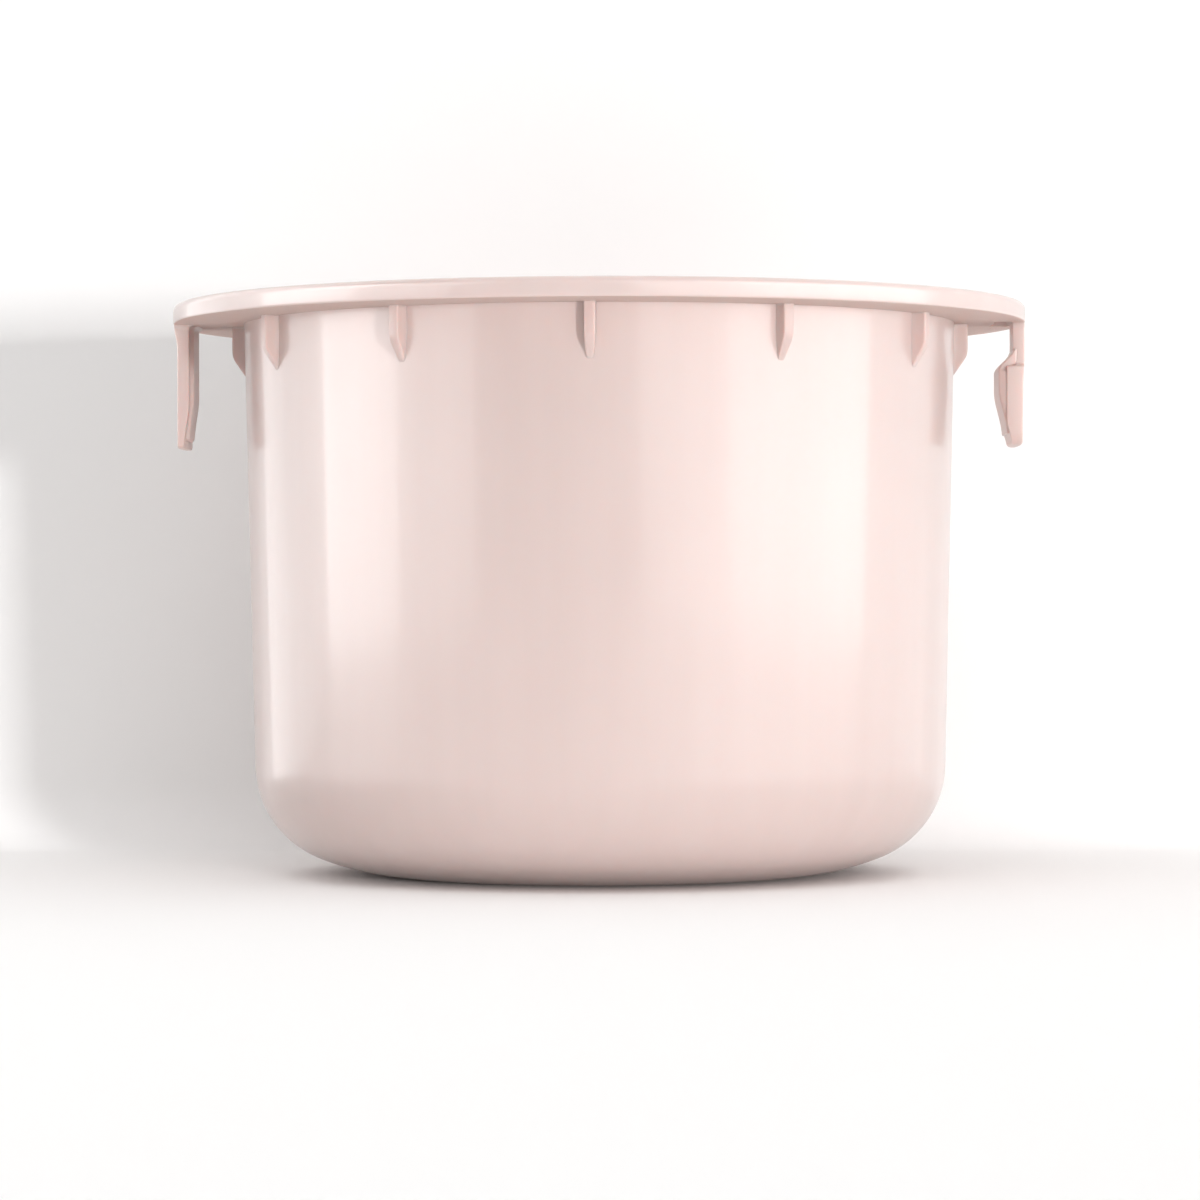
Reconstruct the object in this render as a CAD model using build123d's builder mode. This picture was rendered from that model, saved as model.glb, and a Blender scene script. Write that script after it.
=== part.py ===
from build123d import *
import os
from math import cos, radians, sin, tan

# Snap-in refill pot: a thin-walled cup hanging from a wide flange, with locating
# ribs under the flange and two flexible legs at its rim.
# Millimetres. The origin is the centre of the base, +Z is up, and the legs are
# on the X axis: the plain leg at -X and the hooked leg at +X.

# ---- flange -------------------------------------------------------------
HEIGHT = 38.7  # base to the top of the flange
FLANGE_R = 29.0
FLANGE_T = 1.3
FLANGE_TOP_EDGE = 0.5  # rounding of the rim's upper edge
FLANGE_LOW_EDGE = 0.12
MOUTH_EDGE = 0.25  # rounding of the pot's mouth

# ---- cup ----------------------------------------------------------------
CUP_TOP_R = 24.2  # outside of the wall, just under the flange
DRAFT = 1.3  # degrees; the cup narrows towards its base
WALL = 1.2
CORNER_R = 6.8  # first arc of the base corner, outside
CORNER_TURN = 68.0  # degrees from vertical at which the heel arc takes over
HEEL_R = 17.0  # second, flatter arc of the base corner, outside
FOOT_W = 2.2  # width of the ring that the pot stands on
FOOT_H = 0.25
GATE_POCKET_R = 2.4
GATE_POCKET_D = 0.3
GATE_R = 0.7
GATE_H = 0.3

# ---- sealing land on top of the flange ----------------------------------
LAND_GAP = 0.7  # from the inside of the mouth to the land
LAND_W = 1.4
LAND_TOP_W = 0.8
LAND_H = 0.25

# ---- locating ribs ------------------------------------------------------
RIB_COUNT = 12
RIB_T = 0.7
RIB_OUT = 0.93  # how far a rib stands off the wall
RIB_H = 3.55
RIB_STRAIGHT = 2.1  # height of the rib's upright edge
RIB_CORNER = 0.8  # rounding between upright edge and slope

# ---- legs ---------------------------------------------------------------
ROOT_GAP = 0.1  # bending clearance between a leg and the flange
LEG_H = 8.35  # from the flange down to the tips
TIP_EDGE = 0.25

PLAIN_SETBACK = 0.25  # outer face of the plain leg, in from the rim
PLAIN_W = 5.0
PLAIN_T = 0.9
PLAIN_TIP_T = 0.55
TAPER_H = 3.2  # height of the thinner end of either leg
RIDGE_W = 3.2
RIDGE_D = 0.24
RIDGE_END = 0.5  # the ridge stops this far above the tip

HOOK_SETBACK = 0.05
NECK_W = 3.2
NECK_T = 0.85
NECK_H = 2.8
PAD_SETBACK = 0.15
PAD_W = 6.0
PAD_T = 1.25
PAD_TIP_T = 0.9
BARB_W = 5.2
BARB_D = 0.52  # reach of the barb beyond the pad
BARB_SHOULDER = 1.1  # the barb starts this far above the pad
BARB_CROWN = 1.1  # its crown is this far below the top of the pad
BARB_FLAT = 1.0
BARB_END = 0.8  # it fades out this far above the tip
WINDOW_GAP = 0.2  # clearance of the moulding window around the barb

# ---- worked out from the sizes above ------------------------------------
UNDER_Z = HEIGHT - FLANGE_T
TIP_Z = UNDER_Z - LEG_H
ROOT_Z = UNDER_Z - ROOT_GAP
CORNER_Z = CORNER_R * (sin(radians(CORNER_TURN)) - sin(radians(DRAFT)))
CORNER_Z += HEEL_R * (1 - sin(radians(CORNER_TURN)))
PAD_Z = ROOT_Z - NECK_H
HOOK_OUT_R = FLANGE_R - HOOK_SETBACK
PAD_OUT_R = FLANGE_R - PAD_SETBACK
PLAIN_OUT_R = FLANGE_R - PLAIN_SETBACK
NECK_IN = HOOK_OUT_R - NECK_T
PAD_IN = PAD_OUT_R - PAD_T
PLAIN_IN = PLAIN_OUT_R - PLAIN_T
BARB_IN = PAD_IN - BARB_D
SLOPE = tan(radians(DRAFT))


def wall_r(z):
    """Outside radius of the drafted wall at a height."""
    return CUP_TOP_R - (UNDER_Z - z) * SLOPE


def inside_r(z):
    """Inside radius of the drafted wall at a height."""
    return wall_r(z) - WALL / cos(radians(DRAFT))


MOUTH_R = inside_r(HEIGHT)
FOOT_R = wall_r(CORNER_Z)
FOOT_R -= CORNER_R * (cos(radians(DRAFT)) - cos(radians(CORNER_TURN)))
FOOT_R -= HEEL_R * cos(radians(CORNER_TURN))
RECESS_R = FOOT_R - FOOT_W


def save(builder, name):
    """Label a finished sub-part and write its STEP file."""
    builder.part.label = name
    export_step(builder.part, f"parts/{name}.step")
    print(f"{name}: {builder.part.volume:.3f} mm3")


def radial_plane(angle):
    """Upright plane through the pot's axis: local x runs outward, local y up."""
    turn = radians(angle)
    outward = (cos(turn), sin(turn), 0)
    return Plane(origin=(0, 0, 0), x_dir=outward, z_dir=(sin(turn), -cos(turn), 0))


def cup_section(low, high, inner, outer):
    """Half section of the cup inside a window of heights and radii."""
    up = (sin(radians(DRAFT)), cos(radians(DRAFT)))
    top = (wall_r(HEIGHT), HEIGHT)
    corner = (wall_r(CORNER_Z), CORNER_Z)
    with BuildSketch(Plane.XZ) as section:
        with BuildLine():
            Line(top, corner)
            bend = JernArc(corner, (-up[0], -up[1]), CORNER_R, DRAFT - CORNER_TURN)
            heel = JernArc(bend @ 1, bend % 1, HEEL_R, CORNER_TURN - 90)
            Polyline(heel @ 1, (0, 0), (0, WALL), (FOOT_R, WALL))
            inner_heel = JernArc((FOOT_R, WALL), (1, 0), HEEL_R - WALL, 90 - CORNER_TURN)
            inner_bend = JernArc(
                inner_heel @ 1, inner_heel % 1, CORNER_R - WALL, CORNER_TURN - DRAFT
            )
            Polyline(inner_bend @ 1, (MOUTH_R, HEIGHT), top)
        make_face()
        with Locations(((inner + outer) / 2, (low + high) / 2)):
            Rectangle(outer - inner, high - low, mode=Mode.INTERSECT)
    return section.sketch


os.makedirs("parts", exist_ok=True)

# Upright wall of the cup, from the base corner to the flange.
with BuildPart() as cup_wall:
    add(cup_section(CORNER_Z, UNDER_Z, 0, FLANGE_R))
    revolve(axis=Axis.Z)
save(cup_wall, "cup_wall")

# Rounded corner between the wall and the floor.
with BuildPart() as cup_corner:
    add(cup_section(0, CORNER_Z, FOOT_R, FLANGE_R))
    revolve(axis=Axis.Z)
save(cup_corner, "cup_corner")

# Floor with its standing ring and the pocket that hides the gate.
with BuildPart() as cup_floor:
    with BuildSketch(Plane.XY):
        Circle(FOOT_R)
    extrude(amount=WALL)
    with BuildSketch(Plane.XY):
        Circle(RECESS_R)
    extrude(amount=FOOT_H, mode=Mode.SUBTRACT)
    with BuildSketch(Plane.XY.offset(FOOT_H)):
        Circle(GATE_POCKET_R)
    extrude(amount=GATE_POCKET_D, mode=Mode.SUBTRACT)
save(cup_floor, "cup_floor")

# Stub left by the moulding gate, inside its pocket.
with BuildPart() as gate_stub:
    with BuildSketch(Plane.XY.offset(FOOT_H + GATE_POCKET_D)):
        Circle(GATE_R)
    extrude(amount=-GATE_H)
save(gate_stub, "gate_stub")

# Flange: the cup's lip carried out to the rim, with the window above the barb.
with BuildPart() as rim_flange:
    with BuildSketch(Plane.XZ):
        add(cup_section(UNDER_Z, HEIGHT, 0, FLANGE_R))
        with Locations(((CUP_TOP_R + FLANGE_R) / 2, UNDER_Z + FLANGE_T / 2)):
            Rectangle(FLANGE_R - CUP_TOP_R, FLANGE_T)
    revolve(axis=Axis.Z)
    top_circles = rim_flange.edges().group_by(Axis.Z)[-1].sort_by(SortBy.LENGTH)
    low_circles = rim_flange.edges().group_by(Axis.Z)[0].sort_by(SortBy.LENGTH)
    fillet(top_circles[-1], radius=FLANGE_TOP_EDGE)
    fillet(low_circles[-1], radius=FLANGE_LOW_EDGE)
    fillet(rim_flange.edges().group_by(Axis.Z)[-1].sort_by(SortBy.LENGTH)[0], radius=MOUTH_EDGE)
    window_in = BARB_IN - WINDOW_GAP
    with BuildSketch(Plane.XY.offset(UNDER_Z)):
        with Locations(((window_in + NECK_IN) / 2, 0)):
            Rectangle(NECK_IN - window_in, BARB_W + 2 * WINDOW_GAP)
    extrude(amount=FLANGE_T, mode=Mode.SUBTRACT)
save(rim_flange, "rim_flange")

# Low land around the mouth, for a seal or a lid.
with BuildPart() as seal_land:
    with BuildSketch(Plane.XZ):
        land_in = MOUTH_R + LAND_GAP
        bevel = (LAND_W - LAND_TOP_W) / 2
        with BuildLine():
            Polyline(
                (land_in, HEIGHT),
                (land_in + LAND_W, HEIGHT),
                (land_in + LAND_W - bevel, HEIGHT + LAND_H),
                (land_in + bevel, HEIGHT + LAND_H),
                close=True,
            )
        make_face()
    revolve(axis=Axis.Z)
save(seal_land, "seal_land")

# Locating ribs, one under the flange every 30 degrees.
rib_low = UNDER_Z - RIB_H
rib_edge = CUP_TOP_R + RIB_OUT
for number in range(RIB_COUNT):
    with BuildPart() as rib:
        with BuildSketch(radial_plane(number * 360 / RIB_COUNT)):
            with BuildLine():
                Polyline(
                    (wall_r(UNDER_Z), UNDER_Z),
                    (rib_edge, UNDER_Z),
                    (rib_edge, UNDER_Z - RIB_STRAIGHT),
                    (wall_r(rib_low), rib_low),
                    close=True,
                )
            face = make_face()
            outer_corners = face.vertices().sort_by(Axis.X)[-2:]
            fillet(outer_corners.sort_by(Axis.Y)[0], radius=RIB_CORNER)
        extrude(amount=RIB_T / 2, both=True)
    save(rib, f"rib_{number + 1:02d}")

# Plain leg: a blade that follows the rim, stiffened by a ridge on its inner face.
with BuildPart() as plain_blade:
    with BuildSketch(radial_plane(180)):
        with BuildLine():
            Polyline(
                (PLAIN_IN, ROOT_Z),
                (FLANGE_R, ROOT_Z),
                (FLANGE_R, TIP_Z),
                (PLAIN_OUT_R - PLAIN_TIP_T, TIP_Z),
                (PLAIN_IN, TIP_Z + TAPER_H),
                close=True,
            )
        make_face()
    extrude(amount=PLAIN_W / 2, both=True)
    Cylinder(
        PLAIN_OUT_R,
        HEIGHT,
        align=(Align.CENTER, Align.CENTER, Align.MIN),
        mode=Mode.INTERSECT,
    )
save(plain_blade, "plain_blade")

with BuildPart() as plain_ridge:
    ridge_low = TIP_Z + TAPER_H
    with BuildSketch(radial_plane(180)):
        with BuildLine():
            Polyline(
                (PLAIN_IN, ROOT_Z),
                (PLAIN_IN - RIDGE_D, ROOT_Z),
                (PLAIN_IN - RIDGE_D, ridge_low),
                (PLAIN_IN, ridge_low),
                close=True,
            )
        make_face()
        with BuildLine():
            taper_in = PLAIN_OUT_R - PLAIN_TIP_T
            end_share = RIDGE_END / TAPER_H
            end_in = taper_in + (PLAIN_IN - taper_in) * end_share
            Polyline(
                (PLAIN_IN, ridge_low),
                (PLAIN_IN - RIDGE_D, ridge_low),
                (end_in, TIP_Z + RIDGE_END),
                close=True,
            )
        make_face()
    extrude(amount=RIDGE_W / 2, both=True)
save(plain_ridge, "plain_ridge")

# Hooked leg: a narrow neck, a wider pad below it, and a barb on the inner face.
with BuildPart() as hook_neck:
    with BuildSketch(Plane.XY.offset(ROOT_Z)):
        with Locations(((NECK_IN + FLANGE_R) / 2, 0)):
            Rectangle(FLANGE_R - NECK_IN, NECK_W)
        Circle(HOOK_OUT_R, mode=Mode.INTERSECT)
    extrude(amount=-NECK_H)
save(hook_neck, "hook_neck")

with BuildPart() as hook_pad:
    with BuildSketch(radial_plane(0)):
        with BuildLine():
            Polyline(
                (PAD_IN, PAD_Z),
                (FLANGE_R, PAD_Z),
                (FLANGE_R, TIP_Z),
                (PAD_OUT_R - PAD_TIP_T, TIP_Z),
                (PAD_IN, TIP_Z + BARB_END),
                close=True,
            )
        make_face()
    extrude(amount=PAD_W / 2, both=True)
    Cylinder(
        PAD_OUT_R,
        HEIGHT,
        align=(Align.CENTER, Align.CENTER, Align.MIN),
        mode=Mode.INTERSECT,
    )
    fillet(hook_pad.edges().filter_by(GeomType.LINE).group_by(Axis.Z)[0].sort_by(Axis.X)[0], TIP_EDGE)
save(hook_pad, "hook_pad")

with BuildPart() as hook_barb:
    with BuildSketch(radial_plane(0)):
        crown_z = PAD_Z - BARB_CROWN
        with BuildLine():
            Polyline(
                (NECK_IN, PAD_Z),
                (NECK_IN, PAD_Z + BARB_SHOULDER),
                ((NECK_IN + BARB_IN) / 2 - BARB_D / 4, PAD_Z + BARB_SHOULDER / 4),
                (BARB_IN, crown_z),
                (BARB_IN, crown_z - BARB_FLAT),
                (PAD_IN, TIP_Z + BARB_END),
                (PAD_IN, PAD_Z),
                close=True,
            )
        make_face()
    extrude(amount=BARB_W / 2, both=True)
save(hook_barb, "hook_barb")

print("OK")
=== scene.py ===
# %% [markdown]
# # A snap-in refill pot in pale pink plastic
# The pot is one thin moulding: a tapered cup under a wide flange, twelve small ribs that centre it
# in its holder, and two legs at the rim that clip it in. The frame gives every size and every
# moving body, so this lesson starts by loading it and measuring the pieces that the frame already
# holds. Everything is in metres, with +Z up the pot.

# %% Load the frame
import math

import bmesh
import bpy
from mathutils import Matrix, Vector


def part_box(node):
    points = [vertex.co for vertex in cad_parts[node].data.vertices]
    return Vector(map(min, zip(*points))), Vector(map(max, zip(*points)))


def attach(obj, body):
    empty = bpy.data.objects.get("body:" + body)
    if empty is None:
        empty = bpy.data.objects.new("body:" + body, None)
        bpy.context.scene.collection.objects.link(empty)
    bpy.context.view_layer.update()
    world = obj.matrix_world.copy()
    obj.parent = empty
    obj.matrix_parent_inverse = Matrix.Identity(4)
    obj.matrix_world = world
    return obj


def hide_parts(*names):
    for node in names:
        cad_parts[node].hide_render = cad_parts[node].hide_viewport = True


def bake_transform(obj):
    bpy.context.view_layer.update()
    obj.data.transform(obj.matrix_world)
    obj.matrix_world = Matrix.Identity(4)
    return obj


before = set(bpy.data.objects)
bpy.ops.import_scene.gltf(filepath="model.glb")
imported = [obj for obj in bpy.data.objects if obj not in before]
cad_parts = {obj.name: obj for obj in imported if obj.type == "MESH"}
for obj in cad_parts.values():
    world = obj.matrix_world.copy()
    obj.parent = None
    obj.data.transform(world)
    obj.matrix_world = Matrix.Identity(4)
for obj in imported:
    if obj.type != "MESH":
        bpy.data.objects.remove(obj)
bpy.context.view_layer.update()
MM = 0.001

# %% Measure the pieces
wall_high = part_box("cup_wall")[1]
corner_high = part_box("cup_corner")[1]
floor_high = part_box("cup_floor")[1]
flange_low, flange_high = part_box("rim_flange")
land_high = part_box("seal_land")[1]
gate_low, gate_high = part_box("gate_stub")
rib_low, rib_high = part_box("rib_01")
blade_low, blade_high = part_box("plain_blade")
ridge_low, ridge_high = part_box("plain_ridge")
neck_low, neck_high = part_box("hook_neck")
pad_low, pad_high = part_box("hook_pad")
barb_low, barb_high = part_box("hook_barb")

FLANGE_R = flange_high.x
UNDER_Z = flange_low.z
TOP_Z = flange_high.z
CUP_TOP_R = wall_high.x
CORNER_Z = corner_high.z
CORNER_TOP_R = corner_high.x
WALL = floor_high.z
FOOT_R = floor_high.x
DRAFT = math.atan2(CUP_TOP_R - CORNER_TOP_R, UNDER_Z - CORNER_Z)
print(f"flange {FLANGE_R * 2000:.1f} mm across, top at {TOP_Z * 1000:.1f} mm")
print(f"draft {math.degrees(DRAFT):.2f} degrees")

# %% [markdown]
# ## The camera
# The pot is seen level, from about ten flange radii away, with a long lens, so that its sides stay
# almost parallel. Eye level is near the middle of the cup, which is low enough to show the
# underside of the flange. The camera comes first because every later choice is judged through it.

# %% Place the camera
EYE_Z = 0.6435 * FLANGE_R
CAMERA_DISTANCE = 10.2 * FLANGE_R
CAMERA_TURN = math.radians(1.4)
CAMERA_ROLL = math.radians(0.15)
SENSOR = 36.0
LENS = 129.78


def make_camera():
    """A long lens, level with the middle of the cup."""
    data = bpy.data.cameras.new("camera")
    data.sensor_width = SENSOR
    data.lens = LENS
    data.clip_start = 0.01
    data.clip_end = 5
    camera = bpy.data.objects.new("camera", data)
    bpy.context.collection.objects.link(camera)
    camera.location = (
        math.sin(CAMERA_TURN) * CAMERA_DISTANCE,
        -math.cos(CAMERA_TURN) * CAMERA_DISTANCE,
        EYE_Z,
    )
    camera.rotation_euler = (math.pi / 2, CAMERA_ROLL, CAMERA_TURN)
    bpy.context.scene.camera = camera
    return camera


camera = make_camera()
print(f"lens {camera.data.lens:.0f} mm, {camera.location.length * 1000:.0f} mm from the origin")

# %% [markdown]
# ## Drawing helpers
# Most of the pot is turned: a half outline is drawn in the XZ plane and spun round Z. An outline is
# a few straight runs and a few arcs, so two helpers are enough, one that gives the points of an arc
# and one that chains points into edges. A third turns a finished bmesh into an object that sits at
# the origin.

# %% Helpers for outlines and pieces
JOIN_DISTANCE = 1e-7


def arc(centre, radius, start, end, steps):
    """Points on an arc, angles in degrees from the outward direction, counted towards up."""
    points = []
    for i in range(steps + 1):
        turn = math.radians(start + (end - start) * i / steps)
        points.append((centre[0] + radius * math.cos(turn), centre[1] + radius * math.sin(turn)))
    return points


def run(start, end, steps):
    """Evenly spaced points from start to just before end."""
    return [
        (start[0] + (end[0] - start[0]) * i / steps, start[1] + (end[1] - start[1]) * i / steps)
        for i in range(steps)
    ]


def chain(bm, outline):
    """An outline of (radius, height) points as vertices and edges in the XZ plane."""
    verts = [bm.verts.new((r, 0, z)) for r, z in outline]
    edges = [bm.edges.new(pair) for pair in zip(verts, verts[1:])]
    bmesh.ops.remove_doubles(bm, verts=verts, dist=JOIN_DISTANCE)
    return bm.verts[:] + bm.edges[:]


def finish_piece(bm, name, sharp=35):
    """Write a bmesh to an object at the origin, smooth except at its real edges."""
    bmesh.ops.remove_doubles(bm, verts=bm.verts, dist=JOIN_DISTANCE)
    bmesh.ops.recalc_face_normals(bm, faces=bm.faces)
    if bm.calc_volume(signed=True) < 0:
        bmesh.ops.reverse_faces(bm, faces=bm.faces)
    mesh = bpy.data.meshes.new(name)
    bm.to_mesh(mesh)
    bm.free()
    mesh.shade_smooth()
    mesh.set_sharp_from_angle(angle=math.radians(sharp))
    piece = bpy.data.objects.new(name, mesh)
    bpy.context.collection.objects.link(piece)
    return piece


print("helpers ready")

# %% [markdown]
# ## The pot
# Cup, corner, floor, flange and sealing land are one skin of plastic, so they are spun in one piece
# from one closed outline. Seams between them would show as breaks in the long reflections down the
# wall. The base corner is two arcs, a tight one that leaves the wall and a flatter heel that meets
# the floor.

# %% Outline of the pot
CORNER_TURN = 68.0
HEEL_R = 17.0 * MM
turn_sin = math.sin(math.radians(CORNER_TURN))
CORNER_R = (CORNER_Z - HEEL_R * (1 - turn_sin)) / (turn_sin - math.sin(DRAFT))
RIM_TOP_EDGE = 0.5 * MM
RIM_LOW_EDGE = 0.12 * MM
MOUTH_EDGE = 0.25 * MM
FOOT_W = 2.2 * MM
FOOT_H = gate_low.z
GATE_POCKET_R = 2.4 * MM
GATE_POCKET_Z = gate_high.z
GATE_R = gate_high.x
GATE_EDGE = 0.1 * MM
RECESS_DRAFT = 0.15 * MM
RECESS_EDGE = 0.4 * MM
LAND_W = 1.4 * MM
LAND_BEVEL = 0.3 * MM
WINDOW_GAP = 0.2 * MM
WINDOW_IN = barb_low.x - WINDOW_GAP
WINDOW_OUT = neck_low.x
SIDE_STEPS = 24


def wall_r(z):
    """Outside radius of the drafted wall at a height."""
    return CUP_TOP_R - (UNDER_Z - z) * math.tan(DRAFT)


def cup_side(wall, edge_steps):
    """The cup's skin from the flange down to the floor, at a depth of wall inside the outer surface."""
    side = wall / math.cos(DRAFT)
    heel_centre = (FOOT_R, HEEL_R)
    bend_centre = (
        heel_centre[0] + (HEEL_R - CORNER_R) * math.sin(math.radians(90 - CORNER_TURN)),
        heel_centre[1] - (HEEL_R - CORNER_R) * math.cos(math.radians(90 - CORNER_TURN)),
    )
    bend = arc(bend_centre, CORNER_R - wall, -math.degrees(DRAFT), -CORNER_TURN, edge_steps)
    heel = arc(heel_centre, HEEL_R - wall, -CORNER_TURN, -90, edge_steps // 2)
    upper = run((wall_r(UNDER_Z) - side, UNDER_Z), bend[0], edge_steps)
    return upper + bend[:-1] + heel


def pot_outline():
    """Half outline from pole to pole: up the inside, over the flange, down the outside, across the base."""
    recess_r = FOOT_R - FOOT_W
    outside = cup_side(0, SIDE_STEPS)
    base = (
        run((FOOT_R, 0), (recess_r, 0), 3)
        + [(recess_r, 0), (recess_r - RECESS_DRAFT, FOOT_H)]
        + run((recess_r - RECESS_EDGE, FOOT_H), (GATE_POCKET_R, FOOT_H), 4)
        + [(GATE_POCKET_R, FOOT_H), (GATE_POCKET_R - RECESS_DRAFT, GATE_POCKET_Z)]
        + [(GATE_R + GATE_EDGE, GATE_POCKET_Z), (GATE_R, GATE_POCKET_Z - GATE_EDGE)]
        + [(GATE_R, FOOT_H + GATE_EDGE / 2), (GATE_R - GATE_EDGE, FOOT_H), (0, FOOT_H)]
    )
    inside = run((0, WALL), (FOOT_R, WALL), 5) + list(reversed(cup_side(WALL, SIDE_STEPS)))
    mouth_r = wall_r(TOP_Z) - WALL / math.cos(DRAFT)
    mouth = arc((mouth_r + MOUTH_EDGE, TOP_Z - MOUTH_EDGE), MOUTH_EDGE, 180, 90, 5)
    land = [
        (land_high.x - LAND_W, TOP_Z),
        (land_high.x - LAND_W + LAND_BEVEL, land_high.z),
        (land_high.x - LAND_BEVEL, land_high.z),
        (land_high.x, TOP_Z),
    ]
    top = run((WINDOW_IN, TOP_Z), (WINDOW_OUT, TOP_Z), 2) + [(WINDOW_OUT, TOP_Z)]
    rim = arc((FLANGE_R - RIM_TOP_EDGE, TOP_Z - RIM_TOP_EDGE), RIM_TOP_EDGE, 90, 0, 8)
    rim += arc((FLANGE_R - RIM_LOW_EDGE, UNDER_Z + RIM_LOW_EDGE), RIM_LOW_EDGE, 0, -90, 4)
    under = run((WINDOW_OUT, UNDER_Z), (WINDOW_IN, UNDER_Z), 2) + [(WINDOW_IN, UNDER_Z)]
    return inside + mouth + land + top + rim + under + outside + base


print(f"corner radius {CORNER_R * 1000:.2f} mm, {len(pot_outline())} points in the outline")

# %% [markdown]
# The outline is spun in 192 steps, so that the window above the barb is exactly six steps wide. The
# window is there because the mould has to reach the back of the barb from above. It is cut by
# deleting its faces from the top and the underside of the flange and bridging the two holes.

# %% Spin the pot and cut the window
SPIN_STEPS = 192
WINDOW_STEPS = 3


def inside_window(face):
    """Whether a face of the flange's top or underside lies over the barb."""
    centre = face.calc_center_median()
    reach = math.hypot(centre.x, centre.y)
    turn = abs(math.atan2(centre.y, centre.x))
    flat = abs(face.normal.z) > 0.9 and centre.z > UNDER_Z - WALL / 2
    return flat and WINDOW_IN < reach < WINDOW_OUT and turn < WINDOW_STEPS * 2 * math.pi / SPIN_STEPS


def make_pot():
    """Spin the outline, delete the window's faces and bridge the two holes."""
    bm = bmesh.new()
    geom = chain(bm, pot_outline())
    bmesh.ops.spin(
        bm, geom=geom, cent=(0, 0, 0), axis=(0, 0, 1), angle=2 * math.pi, steps=SPIN_STEPS, use_merge=True
    )
    bmesh.ops.remove_doubles(bm, verts=bm.verts, dist=JOIN_DISTANCE)
    bmesh.ops.dissolve_degenerate(bm, edges=bm.edges, dist=1e-8)
    bm.normal_update()
    hole = [face for face in bm.faces if inside_window(face)]
    bmesh.ops.delete(bm, geom=hole, context="FACES")
    rims = [edge for edge in bm.edges if edge.is_boundary]
    bmesh.ops.bridge_loops(bm, edges=rims)
    return finish_piece(bm, "pot_shell", sharp=40)


pot = make_pot()
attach(pot, "pot")
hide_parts("cup_wall", "cup_corner", "cup_floor", "gate_stub", "rim_flange", "seal_land")
print(f"pot: {len(pot.data.polygons)} faces")

# %% [markdown]
# ## Slabs
# Ribs, blades, ridges and barbs are all thin plates whose outline and thickness change along their
# length. Each one starts as a flat grid, which is extruded once to get its second face, and then
# every corner is put in its place by a small function of how far it is across, how far it is down,
# and which face it belongs to. Last, the edges that meet at a real corner are bevelled, because a
# mould never leaves a knife edge and a small radius catches the light.

# %% Helper for slabs
SHARP_CORNER = math.radians(50)


def fillet_flare(distance, radius):
    """How much a plate thickens at a distance from the surface it grows out of."""
    if distance >= radius:
        return 0.0
    depth = radius - max(distance, 0.0)
    return radius - math.sqrt(radius * radius - depth * depth)


def keep_flats(piece):
    """Let the large faces decide the shading, so that the small bevels don't bend it."""
    weigh = piece.modifiers.new("keep_flats", "WEIGHTED_NORMAL")
    weigh.keep_sharp = True


def soft_min(a, b, blend):
    """The smaller of two lengths, with a rounded change from one to the other."""
    low = min(a, b)
    return low - blend * math.log(math.exp(-(a - low) / blend) + math.exp(-(b - low) / blend))


def make_slab(across, down, place, edge):
    """Closed plate: place(u, v, face) gives a corner, u from -1 to 1 across, v from 0 to 1 down."""
    bm = bmesh.new()
    bmesh.ops.create_grid(bm, x_segments=across, y_segments=down, size=1)
    grown = bmesh.ops.extrude_face_region(bm, geom=bm.faces[:])["geom"]
    second = {vert for vert in grown if isinstance(vert, bmesh.types.BMVert)}
    for vert in bm.verts:
        u, v = vert.co.x, (1 - vert.co.y) / 2
        vert.co = place(u, v, 1 if vert in second else 0)
    bmesh.ops.recalc_face_normals(bm, faces=bm.faces)
    bm.normal_update()
    corners = [e for e in bm.edges if len(e.link_faces) == 2 and e.calc_face_angle(0) > SHARP_CORNER]
    bmesh.ops.bevel(
        bm,
        geom=corners,
        offset=edge,
        offset_type="OFFSET",
        segments=3,
        profile=0.5,
        affect="EDGES",
        material=-1,
    )
    return bm


print("slab helper ready")

# %% [markdown]
# ## The ribs
# Twelve ribs centre the pot in its holder. Each is upright for most of its height, then slopes back
# into the wall, so that the pot finds the holder's mouth by itself. It narrows towards its end,
# which sinks into the wall. A small flare where a rib meets the wall and the flange stands for the
# moulded fillet. One rib is drawn on the X axis and the others are turned copies.

# %% Make the ribs
RIB_COUNT = 12
RIB_HALF = (rib_high.y - rib_low.y) / 2
RIB_EDGE_R = rib_high.x
RIB_STRAIGHT_H = 2.1 * MM
RIB_STRAIGHT_Z = UNDER_Z - RIB_STRAIGHT_H
RIB_END_Z = rib_low.z
RIB_FILLET = 0.08 * MM
RIB_SINK = 0.15 * MM
RIB_ROOT = 0.5 * MM
RIB_ROUNDING = 0.10 * MM
RIB_FADE = 2.2 * MM
RIB_NARROWING = 0.4
RIB_EDGE = 0.1 * MM
RIB_SLOPE = (RIB_EDGE_R - wall_r(RIB_END_Z)) / (RIB_STRAIGHT_Z - RIB_END_Z)
RIB_SUNK_Z = RIB_END_Z - RIB_SINK / RIB_SLOPE


def rib_reach(z):
    """Radius of the rib's free edge at a height."""
    sloped = wall_r(RIB_END_Z) + (z - RIB_END_Z) * RIB_SLOPE
    return soft_min(RIB_EDGE_R, sloped, RIB_ROUNDING)


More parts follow.
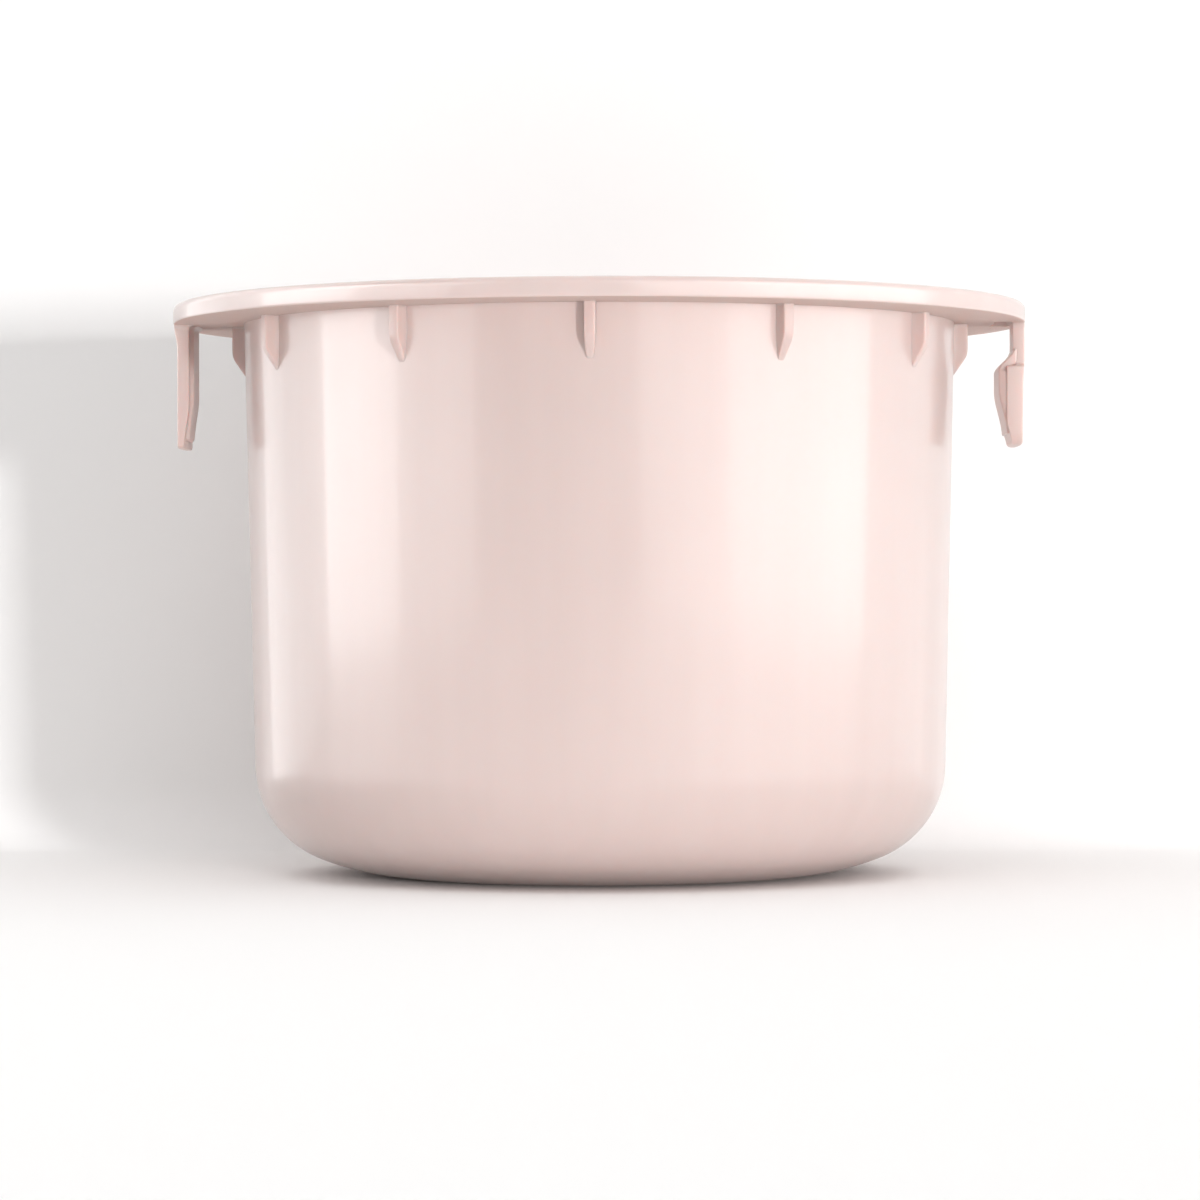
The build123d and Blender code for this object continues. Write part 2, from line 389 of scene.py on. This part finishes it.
def place_on_rib(u, v, face):
    """A corner of the first rib's plate, from its root in the wall out to its free edge."""
    z = UNDER_Z + RIB_SINK - v * (UNDER_Z + RIB_SINK - RIB_SUNK_Z)
    share = ((u + 1) / 2) ** 1.6
    start = wall_r(z) - RIB_ROOT
    r = start + share * (rib_reach(z) - start)
    tapered = max((RIB_STRAIGHT_Z - z) / (RIB_STRAIGHT_Z - RIB_SUNK_Z), 0)
    narrowing = RIB_NARROWING * RIB_HALF * tapered ** 1.5
    root = max(fillet_flare(r - wall_r(z), RIB_FILLET), fillet_flare(UNDER_Z - z, RIB_FILLET))
    half = RIB_HALF - narrowing + root * min(max((z - RIB_END_Z) / RIB_FADE, 0), 1)
    return Vector((r, half * (1 if face else -1), z))


def make_rib(number):
    """The first rib's plate, turned to its own place round the pot."""
    bm = make_slab(10, 40, place_on_rib, RIB_EDGE)
    turn = Matrix.Rotation(number * 2 * math.pi / RIB_COUNT, 3, "Z")
    bmesh.ops.rotate(bm, verts=bm.verts, cent=(0, 0, 0), matrix=turn)
    return finish_piece(bm, f"locating_rib_{number + 1:02d}")


ribs = [make_rib(number) for number in range(RIB_COUNT)]
for number, rib in enumerate(ribs):
    keep_flats(rib)
    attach(rib, "pot")
    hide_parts(f"rib_{number + 1:02d}")
print(f"{len(ribs)} ribs, {len(ribs[0].data.polygons)} faces each")

# %% [markdown]
# ## The legs
# Each leg is a plastic spring that grows out of the rim. Its outer face follows the rim's curve and
# its inner face carries a ridge or a barb. The top of each leg is sunk into the flange.

# %% Helpers for the legs
SINK = 0.5 * MM
ROOT_FILLET = 0.35 * MM
TIP_ROUNDING = 0.3 * MM
FLANK_MARGIN = 0.05 * MM


def between(stations, z):
    """Value at a height, eased between the (height, value) pairs of a list that runs downwards."""
    if z >= stations[0][0]:
        return stations[0][1]
    for (high, a), (low, b) in zip(stations, stations[1:]):
        if z >= low:
            share = (high - z) / max(high - low, 1e-9)
            share = share * share * (3 - 2 * share)
            return a + (b - a) * share
    return stations[-1][1]


def round_end(z, tip, radius):
    """How far a side draws in near a rounded tip."""
    depth = max(tip + radius - z, 0.0)
    return radius - math.sqrt(max(radius * radius - depth * depth, 0.0))


def leg_place(side, top, tip, half_width, outer, inner, root_spread=lambda z: 0.0):
    """A place function for a leg on the +X (side 1) or -X (side -1) rim; its sizes depend on the height."""

    def place(u, v, face):
        z = top - v * (top - tip)
        y = u * (half_width(z) if face else half_width(z) + root_spread(z))
        reach = inner(z) if face else outer(z)
        x = reach if face else math.sqrt(reach * reach - y * y)
        return Vector((side * x, y, z))

    return place


def bend_root(piece):
    """Bake a leg's placement into its mesh; the root is not made to bend."""
    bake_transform(piece)


print("leg helpers ready")

# %% Make the plain leg
PLAIN_OUT_R = -blade_low.x
PLAIN_TIP_T = 0.55 * MM
PLAIN_TIP_IN = PLAIN_OUT_R - PLAIN_TIP_T
PLAIN_HALF = blade_high.y
TIP_Z = blade_low.z
PLAIN_TAPER = 3.2 * MM
PLAIN_TAPER_Z = TIP_Z + PLAIN_TAPER
PLAIN_ROOT_IN = -blade_high.x
RIDGE_IN = -ridge_high.x
RIDGE_HALF = ridge_high.y
RIDGE_END_Z = ridge_low.z
RIDGE_SPREAD = min(PLAIN_HALF - 0.12 * MM - RIDGE_HALF, 0.35 * MM)
RIDGE_ROOT = 0.45 * MM
BLADE_EDGE = 0.08 * MM
CREST_EDGE = 0.1 * MM

plain_outer_stations = [
    (UNDER_Z + SINK, FLANGE_R - 0.02 * MM),
    (UNDER_Z, FLANGE_R - 0.04 * MM),
    (UNDER_Z - 1.6 * MM, PLAIN_OUT_R),
    (TIP_Z, PLAIN_OUT_R),
]
plain_inner_stations = [
    (UNDER_Z, PLAIN_ROOT_IN),
    (PLAIN_TAPER_Z, PLAIN_ROOT_IN),
    (TIP_Z, PLAIN_TIP_IN),
]


def make_plain_leg():
    """A flat blade, upright and then thinner towards its tip."""
    place = leg_place(
        -1,
        UNDER_Z + SINK,
        TIP_Z,
        lambda z: PLAIN_HALF + fillet_flare(UNDER_Z - z, ROOT_FILLET) - round_end(z, TIP_Z, TIP_ROUNDING),
        lambda z: between(plain_outer_stations, z),
        lambda z: between(plain_inner_stations, z) - fillet_flare(UNDER_Z - z, ROOT_FILLET),
    )
    return finish_piece(make_slab(20, 70, place, BLADE_EDGE), "plain_leg_blade")


def make_plain_ridge():
    """A low ridge down the middle of the blade's inner face."""
    ridge_stations = [
        (UNDER_Z, RIDGE_IN),
        (PLAIN_TAPER_Z + 0.4 * MM, RIDGE_IN),
        (RIDGE_END_Z, PLAIN_TIP_IN - 0.25 * MM),
    ]
    place = leg_place(
        -1,
        UNDER_Z + SINK,
        RIDGE_END_Z,
        lambda z: RIDGE_HALF - round_end(z, RIDGE_END_Z, 2 * TIP_ROUNDING),
        lambda z: PLAIN_OUT_R - RIDGE_ROOT,
        lambda z: between(ridge_stations, z) - fillet_flare(UNDER_Z - z, ROOT_FILLET),
        lambda z: RIDGE_SPREAD,
    )
    return finish_piece(make_slab(12, 70, place, CREST_EDGE), "plain_leg_ridge")


plain_leg = make_plain_leg()
plain_ridge = make_plain_ridge()
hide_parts("plain_blade")
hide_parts("plain_ridge")
for piece in (plain_leg, plain_ridge):
    keep_flats(piece)
    bend_root(piece)
print(f"plain leg: {len(plain_leg.data.polygons)} faces, {(UNDER_Z - TIP_Z) * 1000:.1f} mm long")

# %% [markdown]
# The hooked leg has a narrow neck, so that it bends easily, and a wider pad below it that a finger
# can push. The barb stands on the inner face: a short shoulder that grips the holder and a long
# slope that lets it slide on.

# %% Make the hooked leg
HOOK_OUT_R = neck_high.x
NECK_IN = neck_low.x
NECK_HALF = neck_high.y
PAD_OUT_R = pad_high.x
PAD_IN = pad_low.x
PAD_HALF = pad_high.y
PAD_Z = pad_high.z
BARB_IN = barb_low.x
BARB_HALF = barb_high.y
BARB_TOP_Z = barb_high.z
BARB_END_Z = barb_low.z
LEDGE = 0.12 * MM
PAD_EDGE = 0.07 * MM
PAD_TIP_T = 0.9 * MM
PAD_ROUNDING = 0.9 * MM
BARB_ROOT = 0.3 * MM
BARB_SPREAD = PAD_HALF - BARB_HALF - FLANK_MARGIN

hook_width_stations = [
    (PAD_Z + LEDGE, NECK_HALF),
    (PAD_Z - LEDGE, PAD_HALF),
    (TIP_Z, PAD_HALF - 0.1 * MM),
]
hook_outer_stations = [
    (PAD_Z + 0.6 * MM, HOOK_OUT_R),
    (PAD_Z - 1.5 * MM, PAD_OUT_R),
    (TIP_Z, PAD_OUT_R - 0.05 * MM),
]
hook_inner_stations = [
    (PAD_Z + LEDGE, NECK_IN),
    (PAD_Z - LEDGE, PAD_IN),
    (TIP_Z + 1.8 * MM, PAD_IN),
    (TIP_Z, PAD_OUT_R - PAD_TIP_T),
]
barb_stations = [
    (BARB_TOP_Z, NECK_IN + 0.02 * MM),
    (PAD_Z - 0.4 * MM, BARB_IN),
    (PAD_Z - 1.6 * MM, BARB_IN),
    (BARB_END_Z, PAD_IN + 0.02 * MM),
]
barb_spread_stations = [
    (PAD_Z - 0.2 * MM, 0.0),
    (PAD_Z - 0.5 * MM, BARB_SPREAD),
    (BARB_END_Z + 0.6 * MM, BARB_SPREAD),
    (BARB_END_Z, 0.0),
]


def make_hook_leg():
    """A narrow neck over a wide pad, in one plate."""
    place = leg_place(
        1,
        UNDER_Z + SINK,
        TIP_Z,
        lambda z: between(hook_width_stations, z)
        + fillet_flare(UNDER_Z - z, ROOT_FILLET)
        - round_end(z, TIP_Z, PAD_ROUNDING),
        lambda z: between(hook_outer_stations, z) - round_end(z, TIP_Z, TIP_ROUNDING),
        lambda z: between(hook_inner_stations, z) + round_end(z, TIP_Z, 0.25 * MM),
    )
    return finish_piece(make_slab(24, 120, place, PAD_EDGE), "hook_leg_blade")


def make_hook_barb():
    """The catch on the pad's inner face; its sides slope out to the pad's edges."""
    place = leg_place(
        1,
        BARB_TOP_Z,
        BARB_END_Z,
        lambda z: BARB_HALF - 0.03 * MM,
        lambda z: max(PAD_IN, between(hook_inner_stations, z)) + BARB_ROOT,
        lambda z: between(barb_stations, z),
        lambda z: between(barb_spread_stations, z),
    )
    return finish_piece(make_slab(12, 70, place, CREST_EDGE), "hook_leg_barb")


hook_leg = make_hook_leg()
hook_barb = make_hook_barb()
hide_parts("hook_neck", "hook_pad")
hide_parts("hook_barb")
bend_root(hook_leg)
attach(hook_barb, "hook_leg")
for piece in (hook_leg, hook_barb):
    keep_flats(piece)
print(f"hooked leg: {len(hook_leg.data.polygons)} faces, barb {len(hook_barb.data.polygons)} faces")

# %% [markdown]
# ## The plastic
# The pot is moulded in a glossy, faintly pearly pink plastic that lets a little light in: its
# shadows are warmer than its lit faces. The recipe is a coated principled surface with some light
# scattered under it. Soft clouds and long flow marks from the gate vary its colour a little, a
# grain of pearl varies its gloss, and a slow ripple bends its reflections as moulded walls do. The
# wall's roughness stays above 0.275 everywhere: the denoiser treats anything smoother as a mirror,
# and a grain that crosses that line shows as hard-edged patches.

# %% Helpers for the plastic
CLOUD_SCALE = 70
FLOW_SCALE = 420
FLOW_STRETCH = (1, 1, 0.06)
GRAIN_SCALE = 350
GRAIN_SPREAD = 0.025
RIPPLE_SCALE = 260
RIPPLE_DEPTH = 0.02 * MM
NOISE_LOW, NOISE_HIGH = 0.3, 0.7


def link(tree, source, output, target, socket):
    """Join an output to an input, each given by its name or its number."""
    tree.links.new(source.outputs[output], target.inputs[socket])


def noise(tree, coordinates, scale, detail, stretch=(1, 1, 1)):
    """Noise in the piece's own space; scale is in features per metre."""
    mapping = tree.nodes.new("ShaderNodeMapping")
    mapping.inputs["Scale"].default_value = stretch
    link(tree, coordinates, "Object", mapping, "Vector")
    texture = tree.nodes.new("ShaderNodeTexNoise")
    texture.inputs["Scale"].default_value = scale
    texture.inputs["Detail"].default_value = detail
    link(tree, mapping, "Vector", texture, "Vector")
    return texture


def ramp(tree, source, out_low, out_high):
    """Map the middle stretch of a noise's values to another stretch."""
    node = tree.nodes.new("ShaderNodeMapRange")
    node.inputs["From Min"].default_value = NOISE_LOW
    node.inputs["From Max"].default_value = NOISE_HIGH
    node.inputs["To Min"].default_value = out_low
    node.inputs["To Max"].default_value = out_high
    link(tree, source, 0, node, "Value")
    return node


def pearl_plastic(name, pale, deep, gloss, coat, glow):
    """Pink plastic between two tints; gloss is the lowest roughness, glow the scattered share."""
    material = bpy.data.materials.new(name)
    material.use_nodes = True
    tree = material.node_tree
    shader = tree.nodes["Principled BSDF"]
    coordinates = tree.nodes.new("ShaderNodeTexCoord")

    clouds = noise(tree, coordinates, CLOUD_SCALE, 3)
    flow = noise(tree, coordinates, FLOW_SCALE, 2, stretch=FLOW_STRETCH)
    both = tree.nodes.new("ShaderNodeMath")
    both.operation = "ADD"
    link(tree, ramp(tree, clouds, 0.0, 0.6), 0, both, 0)
    link(tree, ramp(tree, flow, 0.0, 0.4), 0, both, 1)
    tint = tree.nodes.new("ShaderNodeMix")
    tint.data_type = "RGBA"
    tint.inputs["A"].default_value = (*pale, 1)
    tint.inputs["B"].default_value = (*deep, 1)
    link(tree, both, 0, tint, "Factor")
    tree.links.new(tint.outputs["Result"], shader.inputs["Base Color"])

    grain = noise(tree, coordinates, GRAIN_SCALE, 2)
    link(tree, ramp(tree, grain, gloss, gloss + GRAIN_SPREAD), 0, shader, "Roughness")

    ripple = noise(tree, coordinates, RIPPLE_SCALE, 1)
    bump = tree.nodes.new("ShaderNodeBump")
    bump.inputs["Strength"].default_value = 0.25
    bump.inputs["Distance"].default_value = RIPPLE_DEPTH
    link(tree, ripple, 0, bump, "Height")
    link(tree, bump, "Normal", shader, "Normal")

    shader.inputs["IOR"].default_value = 1.5
    shader.inputs["Subsurface Weight"].default_value = glow
    shader.inputs["Subsurface Radius"].default_value = (1.0, 0.45, 0.35)
    shader.inputs["Subsurface Scale"].default_value = 0.5 * MM
    shader.inputs["Coat Weight"].default_value = coat
    shader.inputs["Coat Roughness"].default_value = 0.1
    return material


print("plastic recipe ready")

# %% Mix the plastics and coat the pieces
PALE_PINK = (0.68, 0.55, 0.52)
DEEP_PINK = (0.64, 0.51, 0.48)
# The underside's two tints are darker than the wall's. This darkness is painted shade for the flange's
# downward faces.
UNDERSIDE_TINT_PAINTED_SHADE = (0.60, 0.46, 0.42)
UNDERSIDE_DEEPER_TINT_PAINTED_SHADE = (0.57, 0.425, 0.385)
TRIM_PINK = (0.68, 0.54, 0.51)
ROOT_PINK = (0.64, 0.50, 0.465)
skin = pearl_plastic("pearl_pink_wall", PALE_PINK, DEEP_PINK, gloss=0.28, coat=0.4, glow=0.3)
trim = pearl_plastic("pearl_pink_legs", TRIM_PINK, ROOT_PINK, gloss=0.38, coat=0.15, glow=0.5)
# The underside plastic is rougher and has weaker specular, which is a real matt finish. Its darker tint is
# painted shade.
underside_finish_and_painted_shade = pearl_plastic("pearl_pink_underside", UNDERSIDE_TINT_PAINTED_SHADE, UNDERSIDE_DEEPER_TINT_PAINTED_SHADE, gloss=0.6, coat=0.0, glow=0.4)
underside_finish_and_painted_shade.node_tree.nodes["Principled BSDF"].inputs["Specular IOR Level"].default_value = 0.15
pot.data.materials.append(skin)
pot.data.materials.append(underside_finish_and_painted_shade)
# Downward faces just under the flange take the underside plastic, so painted shade darkens them.
for face in pot.data.polygons:
    if face.normal.z < -0.9 and face.center.z > UNDER_Z - MM:
        face.material_index = 1
for piece in ribs + [plain_leg, plain_ridge, hook_leg, hook_barb]:
    piece.data.materials.append(trim)
print("materials:", skin.name, trim.name, underside_finish_and_painted_shade.name)

# %% [markdown]
# ## The studio
# The pot stands on a pale sheet that curves up close behind it, so that its soft shadow falls to
# the left, as under one large lamp. The sheet shows only its front: from behind it is clear, so
# that the pot can be looked at from every side.
#
# Light and shine are set apart. Two lamps only cast light and never show in the gloss: the key,
# almost level and a little to the right, draws the shadow, and the wash from above whitens the
# floor. The others only show in the gloss: the strips stand where the curved wall reflects them as
# long bright bands, and the wings lie flat in front of the sheet, where only the outermost slivers
# of the wall reflect them.

# %% Lay the sheet
SHEET_Y = 29.8 * MM
SHEET_COVE = 5 * MM
SHEET_HALF = 0.9
SHEET_FRONT = 0.9
SHEET_TOP = 0.6
TOOTH_SCALE = 900


def make_sheet():
    """Floor and backdrop in one: a side outline swept from left to right."""
    bm = bmesh.new()
    cove = arc((SHEET_Y - SHEET_COVE, SHEET_COVE), SHEET_COVE, -90, 0, 12)
    outline = [(-SHEET_FRONT, 0)] + cove + [(SHEET_Y, SHEET_TOP)]
    verts = [bm.verts.new((-SHEET_HALF, y, z)) for y, z in outline]
    edges = [bm.edges.new(pair) for pair in zip(verts, verts[1:])]
    swept = bmesh.ops.extrude_edge_only(bm, edges=edges)["geom"]
    moved = [vert for vert in swept if isinstance(vert, bmesh.types.BMVert)]
    bmesh.ops.translate(bm, verts=moved, vec=(2 * SHEET_HALF, 0, 0))
    bm.normal_update()
    if bm.faces[:][0].normal.z < 0:
        bmesh.ops.reverse_faces(bm, faces=bm.faces)
    mesh = bpy.data.meshes.new("sheet")
    bm.to_mesh(mesh)
    bm.free()
    mesh.shade_smooth()
    sheet = bpy.data.objects.new("sheet", mesh)
    bpy.context.collection.objects.link(sheet)
    return sheet


def sheet_paper():
    """Matt white paper with a faint tooth, clear from behind."""
    material = bpy.data.materials.new("sheet_paper")
    material.use_nodes = True
    tree = material.node_tree
    shader = tree.nodes["Principled BSDF"]
    output = tree.nodes["Material Output"]
    coordinates = tree.nodes.new("ShaderNodeTexCoord")
    tooth = noise(tree, coordinates, TOOTH_SCALE, 4)
    shader.inputs["Base Color"].default_value = (0.93, 0.925, 0.92, 1)
    shader.inputs["Specular IOR Level"].default_value = 0.1
    link(tree, ramp(tree, tooth, 0.85, 0.95), 0, shader, "Roughness")
    clear = tree.nodes.new("ShaderNodeBsdfTransparent")
    side = tree.nodes.new("ShaderNodeNewGeometry")
    mix = tree.nodes.new("ShaderNodeMixShader")
    link(tree, side, "Backfacing", mix, 0)
    tree.links.new(shader.outputs[0], mix.inputs[1])
    tree.links.new(clear.outputs[0], mix.inputs[2])
    tree.links.new(mix.outputs[0], output.inputs["Surface"])
    return material


sheet = make_sheet()
sheet.data.materials.append(sheet_paper())
print(f"sheet: {len(sheet.data.polygons)} faces")

# %% Hang the lamps
LAMP_DISTANCE = 0.32
STRIP_RISE = 20
STRIP_HEIGHT = 0.30
WING_HEIGHT = 0.20
WING_LOW = -0.02
WING_GAP = 2 * MM
POT_MIDDLE = Vector((0, 0, TOP_Z / 2))


def soft_lamp(name, place, aim, size, power, shows):
    """Rectangular lamp that faces aim; shows is "light" if it only casts, "shine" if it is only reflected."""
    data = bpy.data.lights.new(name, "AREA")
    data.shape = "RECTANGLE"
    data.size, data.size_y = size
    data.energy = power
    lamp = bpy.data.objects.new(name, data)
    bpy.context.collection.objects.link(lamp)
    lamp.location = place
    lamp.rotation_euler = (Vector(aim) - Vector(place)).to_track_quat("-Z", "Y").to_euler()
    lamp.visible_camera = False
    lamp.visible_glossy = shows == "shine"
    lamp.visible_diffuse = shows == "light"
    return lamp


def around(turn, rise, distance):
    """Place seen from the pot's middle, by degrees right of straight ahead and above the horizon."""
    turn, rise = math.radians(turn), math.radians(rise)
    across = math.cos(rise) * distance
    offset = Vector((math.sin(turn) * across, -math.cos(turn) * across, math.sin(rise) * distance))
    return POT_MIDDLE + offset


def panel_power(radiance, width, height):
    """Watts that make a panel of this size look this bright."""
    return radiance * math.pi * width * height


def strip(name, start, end, radiance):
    """Tall panel that the wall reflects between two angles."""
    width = 2 * LAMP_DISTANCE * math.tan(math.radians(end - start) / 2)
    power = panel_power(radiance, width, STRIP_HEIGHT)
    place = around((start + end) / 2, STRIP_RISE, LAMP_DISTANCE)
    return soft_lamp(name, place, POT_MIDDLE, (width, STRIP_HEIGHT), power, "shine")


def wing(name, near, far, radiance):
    """Panel that lies just in front of the sheet, from near to far on the X axis."""
    width = abs(far - near)
    power = panel_power(radiance, width, WING_HEIGHT)
    place = Vector(((near + far) / 2, SHEET_Y - WING_GAP, WING_LOW + WING_HEIGHT / 2))
    return soft_lamp(name, place, place - Vector((0, 1, 0)), (width, WING_HEIGHT), power, "shine")


lamps = [
    soft_lamp("key", around(28.8, 1.0, 0.6), POT_MIDDLE, (0.05, 0.05), 1.7, "light"),
    soft_lamp("top_wash", (0, -0.08, 0.5), (0, -0.08, 0), (0.6, 0.6), 1.25, "light"),
    strip("left_soft", -97, -36, 2.6),
    strip("left_crisp", -97, -63, 4.0),
    strip("right_soft", 12, 100, 2.3),
    strip("right_bright", 40, 98, 2.4),
    wing("left_wing", -0.40, -0.055, 1.6),
    wing("left_far_wing", -0.50, -0.08, 2.2),
    wing("right_wing", 0.06, 0.40, 0.4),
]
print("lamps:", [lamp.name for lamp in lamps])

# %% Light the room
def make_room(strength):
    """Even white surroundings."""
    world = bpy.data.worlds.new("studio")
    world.use_nodes = True
    background = world.node_tree.nodes["Background"]
    background.inputs["Color"].default_value = (1, 1, 1, 1)
    background.inputs["Strength"].default_value = strength
    bpy.context.scene.world = world
    return world


room = make_room(0.56)
bpy.context.scene.view_settings.view_transform = "Standard"
print("room strength:", room.node_tree.nodes["Background"].inputs["Strength"].default_value)
